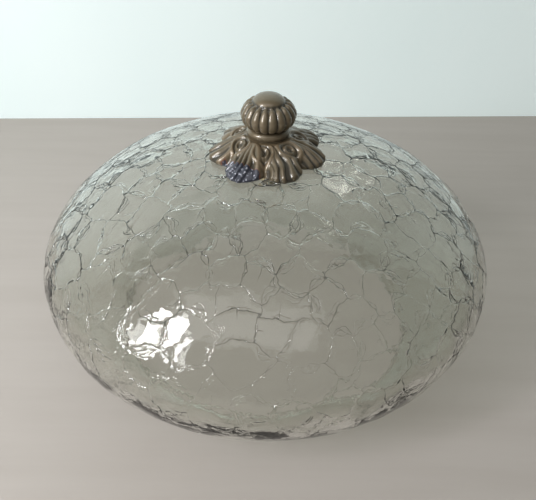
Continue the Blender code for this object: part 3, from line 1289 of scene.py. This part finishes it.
@dataclass
class MelonKnob:
    """The cast knob: rounded fingers that rise from the foot and end round a smooth cap."""

    finish: BronzeFinish
    levels: CrownSizes = CrownSizes()
    radius: float = 16.6 * MM
    height: float = 21.4 * MM
    belt: float = 8.2 * MM
    foot_radius: float = 9.6 * MM
    foot_ease: float = 0.4 * MM
    bore_tip: float = 173.6 * MM
    bore_top: float = 171.0 * MM
    fingers: int = 18
    finger_depth: float = 1.15 * MM
    cap_radius: float = 10.6 * MM
    cap_rise: float = 6.0 * MM
    finger_end: float = 0.70
    steps_per_finger: int = 14
    outline_points: tuple[int, int, int] = (16, 20, 18)

    def build(self) -> None:
        """Makes the knob and hands it over."""
        outline = self._outline()
        piece = Turned("melon_knob", outline, self.fingers * self.steps_per_finger, False)
        count = len(outline) - 4
        share = (piece.index - 3.0) / count
        skin = piece.index >= 4
        wave = np.abs(np.cos(self.fingers * piece.angle / 2.0))
        crest = wave**0.75
        tip = self.finger_end - 0.10 * (1.0 - wave) ** 1.4
        grown = 1.0 - smoothstep(share, tip - 0.035, tip + 0.03)
        waist = 0.35 + 0.65 * smoothstep(share, 0.02, 0.2)
        swell = 0.45 * np.exp(-(((share - tip + 0.09) / 0.07) ** 2)) * crest
        lift = self.finger_depth * waist * grown * (crest - 0.55 + swell)
        sunk = smoothstep(share, self.finger_end - 0.06, self.finger_end)
        lift -= 0.45 * self.finger_depth * sunk
        piece.raise_by(np.where(skin, lift, 0.0))
        cap = smoothstep(share, self.finger_end, self.finger_end + 0.08)
        ridge = 0.12 + 0.7 * crest * grown + 0.5 * cap
        Bench.values(piece.obj, "ridge", np.where(skin, ridge, 0.4))
        Bench.smooth(piece.obj, 50.0)
        Bench.hand_over(piece.obj, self.finish, Body.KNOB, Slot.BRONZE, "finial_knob")

    def _outline(self) -> list[Point]:
        """Draws the knob from the tip of the blind hole, down it, and up the outside.

        Returns:
            (radius, height) points.
        """
        low = self.levels.knob_bottom
        points = [
            (0.0, self.bore_tip),
            (self.levels.passage, self.bore_top),
            (self.levels.passage, low),
            (self.foot_radius - 2.0 * self.foot_ease, low),
        ]
        foot, belly, cap = self.outline_points
        for i in range(foot):
            turn = math.pi / 2 * i / foot
            radius = self.foot_radius + (self.radius - self.foot_radius) * math.sin(turn)
            rise = (self.belt - self.foot_ease) * (1.0 - math.cos(turn))
            points.append((radius, low + self.foot_ease + rise))
        cap_foot = self.height - self.cap_rise
        end = math.acos(self.cap_radius / self.radius)
        for i in range(belly):
            turn = end * i / belly
            height = low + self.belt + (cap_foot - self.belt) * math.sin(turn) / math.sin(end)
            points.append((self.radius * math.cos(turn), height))
        for i in range(cap):
            turn = math.pi / 2 * i / cap
            height = low + cap_foot + self.cap_rise * math.sin(turn)
            points.append((self.cap_radius * math.cos(turn) ** 0.96, height))
        return points + [(0.0, low + self.height)]


@dataclass
class NeckRing:
    """The turned ring between the rosette and the knob: a roll with a fillet below."""

    finish: BronzeFinish
    levels: CrownSizes = CrownSizes()
    roll_start: float = -math.pi / 3.2
    dent: float = 0.08 * MM
    steps: int = 128

    def build(self) -> None:
        """Makes the ring and hands it over."""
        low, high = self.levels.ring_bottom, self.levels.ring_bottom + self.levels.ring_height
        inner, outer = self.levels.passage, self.levels.ring_radius
        outline = [(inner, low), (outer - 0.5 * MM, low), (outer - 0.05 * MM, low + 0.35 * MM)]
        roll = (high - low) / 2.0
        for i in range(17):
            turn = self.roll_start + (math.pi / 2 - self.roll_start) * i / 16
            radius = outer - roll + roll * math.cos(turn)
            outline.append((radius, low + roll + roll * math.sin(turn)))
        outline.append((inner, high))
        piece = Turned("neck_roll", outline, self.steps, True)
        worn = 0.5 + 0.22 * smoothstep(piece.height, low + 2.0 * MM, high)
        dent = self.dent * np.abs(np.sin(3 * piece.angle + 0.7))
        piece.move(np.where(piece.radius > inner + MM, -dent, 0.0), 0.0 * dent)
        Bench.values(piece.obj, "ridge", worn)
        Bench.smooth(piece.obj, 50.0)
        Bench.hand_over(piece.obj, self.finish, Body.SHADE, Slot.BRONZE, "neck_ring")


@dataclass(frozen=True)
class Stroke:
    """One raised line of the rosette's ornament, as a curve through a lobe.

    Angles are degrees from the lobe's middle and radii are in millimetres. The curve leaves start,
    bends towards bend and reaches end.
    """

    start: Point
    bend: Point
    end: Point
    width: float = 1.75
    height: float = 1.0

    def points(self, middle: float, count: int = 30) -> np.ndarray:
        """Places the curve on one lobe.

        Args:
            middle: the angle of the lobe's middle.
            count: how many points.

        Returns:
            A row of x and y for each point, in metres.
        """
        share = np.linspace(0.0, 1.0, count)[:, None]
        a, b, c = (np.array(p) for p in (self.start, self.bend, self.end))
        line = (1 - share) ** 2 * a + 2 * share * (1 - share) * b + share**2 * c
        turn = middle + np.radians(line[:, 0])
        return np.column_stack([line[:, 1] * np.cos(turn), line[:, 1] * np.sin(turn)]) * MM


@dataclass
class Rosette:
    """The cast rosette: seven shell-like fans, each swept round an eye at its left side."""

    finish: BronzeFinish
    glass: GlassSizes = GlassSizes()
    levels: CrownSizes = CrownSizes()
    seed: int = 7
    lobes: int = 7
    front: float = math.radians(-68.5)
    radius: float = 34.0 * MM
    neck: float = 13.0 * MM
    lobe_depth: float = 4.2 * MM
    valley: float = 1.9 * MM
    arch: float = 1.5 * MM
    relief: float = 1.9 * MM
    lift: float = 0.6 * MM
    edge: float = 2.0 * MM
    seat_radius: float = 21.2 * MM
    seat_lift: float = 2.1 * MM
    steps: int = 504
    rows: int = 46
    worn_middle: float = math.radians(235.5)
    worn_reach: float = math.radians(26.5)
    worn_radius: float = 29.5 * MM
    droop_width: float = 0.36
    droop_reach: float = 1.6 * MM
    droop_drop: float = 1.7 * MM
    sway: float = 0.5 * MM
    wobble: Point = (1.3 * MM, 0.07)
    scallop: float = 0.75 * MM
    belly: float = 1.5 * MM
    unevenness: float = 0.45 * MM
    strokes: tuple[Stroke, ...] = (
        Stroke((-23, 13.2), (26, 13.0), (17, 37.5), 2.0, 1.15),
        Stroke((-22, 13.6), (15, 14.2), (5, 37.5), 1.6, 0.95),
        Stroke((-20, 14.5), (4, 16.5), (-4, 37), 1.5, 0.9),
        Stroke((-14, 17.5), (-8, 22), (-12, 36), 1.4, 0.85),
        Stroke((-19, 25.0), (-16, 28), (-19, 35), 1.3, 0.8),
        Stroke((-27, 26.0), (-24, 29), (-26.5, 34), 1.3, 0.8),
    )

    def build(self) -> None:
        """Makes the rosette and hands it over."""
        noise.seed_set(self.seed)  # noise_vector starts from the clock without it
        outline = self._outline()
        piece = Turned("rocaille_rosette", outline, self.steps, True)
        share = np.clip((piece.radius - self.neck) / (self.radius - self.neck), 0.0, 1.1)
        local = piece.angle - self.front
        wave = np.abs(np.cos(self.lobes * local / 2.0)) * 2.0 - 1.0
        bulge = np.clip((wave + 1) / 2, 0, 1) ** 0.75
        lobe = self.lobe_depth * (2.0 * bulge - 1.4)
        droop = np.exp(-((self._off_worn(piece) / self.droop_width) ** 2))
        lobe = lobe + self.droop_reach * droop + self.sway * np.sin(2.0 * piece.angle + 0.4)
        shift = lobe * np.clip((piece.radius - self.seat_radius) / (12.8 * MM), 0.0, 1.0)
        before = np.array([self.glass.crown_height(r) for r in piece.radius])
        after = np.array([self.glass.crown_height(r) for r in piece.radius + shift])
        piece.move(shift, after - before)
        points = [Vector(v.co) for v in piece.obj.data.vertices]
        wobble = np.array([noise.noise_vector(point * 110.0) for point in points])[:, :2]
        wobble = wobble * self.wobble
        raised = self._relief(piece.radius + wobble[:, 0], piece.angle + wobble[:, 1])
        top = piece.index >= self.under_points
        fade = smoothstep(share, 0.0, 0.12) * np.where(top, 1.0, 0.0)
        edge = np.exp(-(((share - 1.0) / 0.16) ** 2))
        scallop = self.scallop * (raised - 0.5) * smoothstep(share, 0.6, 1.0)
        belly = self.belly * np.sin(math.pi * np.clip(share, 0, 1)) * (0.3 + 0.7 * (wave + 1) / 2)
        dip = self.valley * ((1 - wave) / 2) ** 2 * smoothstep(share, 0.45, 0.95)
        dip -= self.arch * bulge * smoothstep(share, 0.3, 1.0)
        dip += self.droop_drop * droop * share**2
        cast = self.unevenness * np.array([noise.noise(point * 160.0) for point in points])
        rise = self.relief * (raised - 0.42) * (1.0 - 0.25 * edge) + belly - dip + cast
        piece.move(scallop, fade * rise)
        Bench.values(piece.obj, "ridge", np.where(top, 0.05 + 0.95 * raised, 0.3))
        Bench.values(piece.obj, "bare", self._bare(piece))
        Bench.smooth(piece.obj, 60.0)
        Bench.hand_over(piece.obj, self.finish, Body.ROSETTE, Slot.BRONZE, "rosette")

    def _outline(self) -> list[Point]:
        """Draws the underside from the bore out, then the edge, and the top back to the bore.

        Returns:
            (radius, height) points.
        """
        crown = self.glass.crown_height
        seat = (self.levels.passage, self.seat_radius / 2, self.seat_radius)
        under = [(radius, crown(radius) + self.seat_lift) for radius in seat]
        under.append((self.seat_radius + 0.3 * MM, crown(self.seat_radius) + self.lift))
        beyond = (28.0 * MM, self.radius - 0.6 * MM)
        under += [(radius, crown(radius) + self.lift) for radius in beyond]
        self.under_points = len(under) + 1
        edge_low = crown(self.radius) + self.lift
        edge_top = edge_low + self.edge
        over = [(self.radius, edge_low + 0.5 * MM), (self.radius + 0.1 * MM, edge_top - 0.7 * MM)]
        for i in range(self.rows + 1):
            share = i / self.rows
            radius = self.radius - (self.radius - self.neck) * share - 0.2 * MM * (1 - share)
            tent = edge_top + (self.levels.rosette_top - edge_top) * share**0.95
            over.append((radius, tent))
        return under + over + [(self.levels.passage, self.levels.rosette_top)]

    def _relief(self, radius: np.ndarray, angle: np.ndarray) -> np.ndarray:
        """Works out the height of the ornament.

        Args:
            radius: the distance from Z of each point.
            angle: the angle round Z of each point.

        Returns:
            The height at each point, from 0 in a groove to 1 and a little more on a crest.
        """
        place = np.column_stack([radius * np.cos(angle), radius * np.sin(angle)])
        raised = np.zeros(len(place))
        for lobe in range(self.lobes):
            middle = self.front + lobe * math.tau / self.lobes
            vary = random.Random(40 + lobe)
            for stroke in self.strokes:
                line = stroke.points(middle + math.radians(vary.uniform(-1.6, 1.6)))
                gaps = np.full(len(place), 1.0)
                for x, y in line:
                    gaps = np.minimum(gaps, np.hypot(place[:, 0] - x, place[:, 1] - y))
                near = np.clip(1.0 - (gaps / (stroke.width * 1.3 * MM)) ** 2, 0.0, 1.0) ** 0.8
                raised = np.maximum(raised, near * stroke.height)
            raised = self._eye(place, middle, raised)
        return np.clip(raised, 0.0, 1.15)

    @staticmethod
    def _eye(place: np.ndarray, middle: float, raised: np.ndarray) -> np.ndarray:
        """Adds the oval eye at the left of a fan: a rolled rim round a hollow with a seed in it.

        Args:
            place: a row of x and y for each point.
            middle: the angle of the fan's middle.
            raised: the ornament's height at each point so far.

        Returns:
            The ornament's height with the eye.
        """
        turn = middle + math.radians(-30.5)
        centre = np.array([math.cos(turn), math.sin(turn)]) * 19.3 * MM
        away = place - centre
        out = away @ np.array([math.cos(turn), math.sin(turn)])
        side = away @ np.array([-math.sin(turn), math.cos(turn)])
        lean = side - 0.18 * out
        reach = np.hypot(lean / (6.9 * MM), out / (6.7 * MM))
        rim = np.clip(1.0 - ((reach - 0.92) / 0.26) ** 2, 0.0, 1.0) ** 0.7
        inside = reach < 0.92
        rings = 0.5 + 0.5 * np.cos(math.tau * (reach - 0.92) / 0.52)
        eye = np.maximum(rim * 1.1, 0.15 + 0.75 * rings)
        return np.where(inside, eye, np.maximum(raised, rim * 1.1))

    def _off_worn(self, piece: Turned) -> np.ndarray:
        """The angle from the middle of the worn lobe to each point."""
        return np.angle(np.exp(1j * (piece.angle - self.worn_middle)))

    def _bare(self, piece: Turned) -> np.ndarray:
        """Works out where the finish has gone from one lobe's rim.

        Args:
            piece: the rosette.

        Returns:
            1 at the points in the middle of the bare metal and 0 away from it.
        """
        off = np.abs(self._off_worn(piece))
        side = 1.0 - smoothstep(off, self.worn_reach * 0.75, self.worn_reach * 1.2)
        return side * smoothstep(piece.radius, self.worn_radius - 1.5 * MM, self.worn_radius + MM)


# ---------------------------------------------------------------- hardware


@dataclass
class ThreadedStud:
    """The hollow lamp stud with a real single-start thread."""

    finish: TurnedMetalFinish
    bottom: float = 113.927 * MM
    top: float = 168.65 * MM
    crest: float = 5.0 * MM
    bore: float = 3.5 * MM
    pitch: float = 1.0 * MM
    thread: float = 0.5 * MM
    rows_per_turn: int = 6
    steps: int = 42

    def build(self) -> None:
        """Makes the stud and hands it over."""
        rows = int((self.top - self.bottom) / self.pitch * self.rows_per_turn)
        gap = (self.top - self.bottom) / rows
        outside = [(self.crest, self.bottom + gap * i) for i in range(rows + 1)]
        inside = [(self.bore, self.top), (self.bore, self.bottom)]
        piece = Turned("lamp_stud", outside + inside, self.steps, True)
        phase = (piece.height / self.pitch - piece.angle / math.tau) % 1.0
        cut = self.thread * (1.0 - np.abs(phase * 2.0 - 1.0))
        end = np.minimum(piece.height - self.bottom, self.top - piece.height)
        cut = np.maximum(cut, 0.75 * MM - end)
        piece.move(np.where(piece.index <= rows, -cut, 0.0), 0.0 * cut)
        Bench.smooth(piece.obj, 35.0)
        Bench.hand_over(piece.obj, self.finish, Body.STUD, Slot.BRASS, "threaded_stud")


@dataclass
class LockNut:
    """The thin hexagon nut: chamfered corners, eased edges and a countersunk bore."""

    finish: TurnedMetalFinish
    flats: float = 14.0 * MM
    bore: float = 5.3 * MM
    countersink: float = 0.5 * MM
    chamfer: float = 0.85 * MM
    steps: int = 96

    def build(self) -> None:
        """Makes the nut in the place of its CAD node and hands it over."""
        low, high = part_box("lock_nut")[0][2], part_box("lock_nut")[1][2]
        corner = self.flats / 2 / math.cos(math.pi / 6)
        sink, chamfer = self.countersink, self.chamfer
        outline = [(self.bore, low + sink), (self.bore + sink, low)]
        outline += [(radius, low) for radius in (6.2 * MM, 6.6 * MM)]
        outline += [(corner, z) for z in (low + chamfer, low + 2.0 * MM, high - chamfer)]
        outline += [(6.6 * MM, high), (self.bore + sink, high), (self.bore, high - sink)]
        piece = Turned("lamp_nut", outline, self.steps, True)
        sector = math.pi / 3
        flat = self.flats / 2 / np.cos((piece.angle % sector) - sector / 2)
        piece.move(np.minimum(flat - piece.radius, 0.0), 0.0 * flat)
        Bench.smooth(piece.obj, 25.0)
        Bench.hand_over(piece.obj, self.finish, Body.CLAMP_NUT, Slot.BRASS, "lock_nut")


@dataclass(frozen=True)
class CarriedOver:
    """A CAD node whose shape is right, which gets a finish and nothing else."""

    node: str
    finish: Finish

    def build(self) -> None:
        """Puts the finish in the node's material slots."""
        obj = bpy.data.objects[self.node]
        for slot in obj.material_slots:
            slot.material = self.finish.material()


# ---------------------------------------------------------------- studio


@dataclass(frozen=True)
class Studio:
    """The camera, a pale board with a wall behind it, and soft light."""

    distance: float = 0.4574
    elevation: float = math.radians(38.5)
    pitch: float = math.radians(38.8)
    roll: float = math.radians(1.25)
    yaw: float = math.radians(-0.23)
    lens: float = 43.66
    aim_height: float = 62.0 * MM

    def build(self) -> None:
        """Sets up everything that isn't the object."""
        self._camera()
        self._floor()
        self._lights()
        bpy.context.scene.view_settings.view_transform = "Standard"

    def _camera(self) -> None:
        """The camera looks down on the shade from the front."""
        data = bpy.data.cameras.new("camera")
        data.lens, data.sensor_width, data.clip_start = self.lens, 36.0, 0.01
        camera = bpy.data.objects.new("camera", data)
        bpy.context.scene.collection.objects.link(camera)
        level = self.distance * math.cos(self.elevation)
        height = self.aim_height + self.distance * math.sin(self.elevation)
        turn = Matrix.Rotation(self.yaw, 4, "Z") @ Matrix.Rotation(math.pi / 2 - self.pitch, 4, "X")
        turn = turn @ Matrix.Rotation(self.roll, 4, "Z")
        camera.matrix_world = Matrix.Translation((0.0, -level, height)) @ turn
        bpy.context.scene.camera = camera

    def _floor(self) -> None:
        """A pale board and a plain wall behind it."""
        board = self._panel("studio_floor", 6.0, (0.0, 0.0, 0.0), (0.0, 0.0, 0.0))
        board.data.materials.append(PaintedBoardFinish("painted_board").material())
        upright = (math.pi / 2, 0.0, math.radians(3.0))
        wall = self._panel("studio_backdrop", 4.0, (0.0, 0.315, 0.0), upright)
        paint = PaintedBoardFinish("painted_wall", (0.84, 0.95, 0.94), (0.80, 0.92, 0.91), 0.20)
        wall.data.materials.append(paint.material())

    @staticmethod
    def _panel(name: str, size: float, place: Triple, turn: Triple) -> bpy.types.Object:
        """Adds a flat square panel to the studio.

        Args:
            name: its name.
            size: the length of its sides.
            place: x, y and z of its middle.
            turn: its angles round X, Y and Z.

        Returns:
            The panel.
        """
        Bench.clear()
        bpy.ops.mesh.primitive_grid_add(
            x_subdivisions=2, y_subdivisions=2, size=size, location=place, rotation=turn
        )
        bpy.ops.object.transform_apply(location=True, rotation=True, scale=True)
        panel = bpy.context.object
        panel.name = name
        return panel

    def _lights(self) -> None:
        """Two panes of a window at the front left, a broad fill from above, and a dim sky."""
        self._area("pane_left", -55.0, 33.0, 0.95, (0.13, 0.50), 6.4, (0.975, 0.975, 1.0))
        self._area("fill", -14.0, 62.0, 1.5, (1.5, 0.7), 3.4, (1.0, 0.985, 0.985))
        self._area("pane_right", -42.0, 31.0, 0.95, (0.06, 0.42), 1.5, (0.975, 0.975, 1.0))
        world = bpy.data.worlds.new("studio")
        world.use_nodes = True
        background = world.node_tree.nodes["Background"]
        background.inputs[0].default_value = (0.68, 0.665, 0.61, 1.0)
        background.inputs[1].default_value = 0.20
        bpy.context.scene.world = world

    def _area(
        self,
        name: str,
        azimuth: float,
        elevation: float,
        distance: float,
        size: tuple[float, float],
        power: float,
        colour: Colour,
    ) -> None:
        """Adds an area light that faces the shade.

        Args:
            name: the light's name.
            azimuth: degrees from -Y, positive towards +X.
            elevation: degrees above the table.
            distance: how far off it is.
            size: its width and height.
            power: in watts.
            colour: its colour.
        """
        data = bpy.data.lights.new(name, "AREA")
        data.shape, data.size, data.size_y = "RECTANGLE", *size
        data.energy, data.color = power, colour
        light = bpy.data.objects.new(name, data)
        bpy.context.scene.collection.objects.link(light)
        turn, rise = math.radians(azimuth), math.radians(elevation)
        way = Vector(
            (math.sin(turn) * math.cos(rise), -math.cos(turn) * math.cos(rise), math.sin(rise))
        )
        light.matrix_world = (
            Matrix.Translation(way * distance + Vector((0, 0, self.aim_height)))
            @ way.to_track_quat("Z", "Y").to_matrix().to_4x4()
        )


def main() -> None:
    """Builds every sub-assembly in order."""
    logging.basicConfig(level=logging.INFO, format="%(message)s")
    bronze = BronzeFinish("aged_bronze")
    brass = TurnedMetalFinish("plain_brass", (0.46, 0.39, 0.26), (0.25, 0.21, 0.15))
    zinc = TurnedMetalFinish("zinc_steel", (0.62, 0.63, 0.64), (0.36, 0.36, 0.35), 0.38, 9000.0)
    rubber = MouldedFinish("black_rubber", (0.022, 0.022, 0.023), (0.075, 0.073, 0.070))
    nylon = MouldedFinish("white_nylon", (0.74, 0.73, 0.69), (0.62, 0.60, 0.54), 0.45)
    pieces = [
        GlassShade(),
        MelonKnob(bronze),
        NeckRing(bronze),
        Rosette(BronzeFinish("worn_bronze", (0.160, 0.118, 0.072), (0.20, 0.15, 0.09), worn=True)),
        ThreadedStud(brass),
        LockNut(brass),
        CarriedOver("outer_gasket", rubber),
        CarriedOver("inner_gasket", rubber),
        CarriedOver("hole_sleeve", nylon),
        CarriedOver("inner_washer", zinc),
        CarriedOver("lock_washer", zinc),
    ]
    for piece in pieces:
        piece.build()
    Studio().build()


if __name__ == "__main__":
    main()
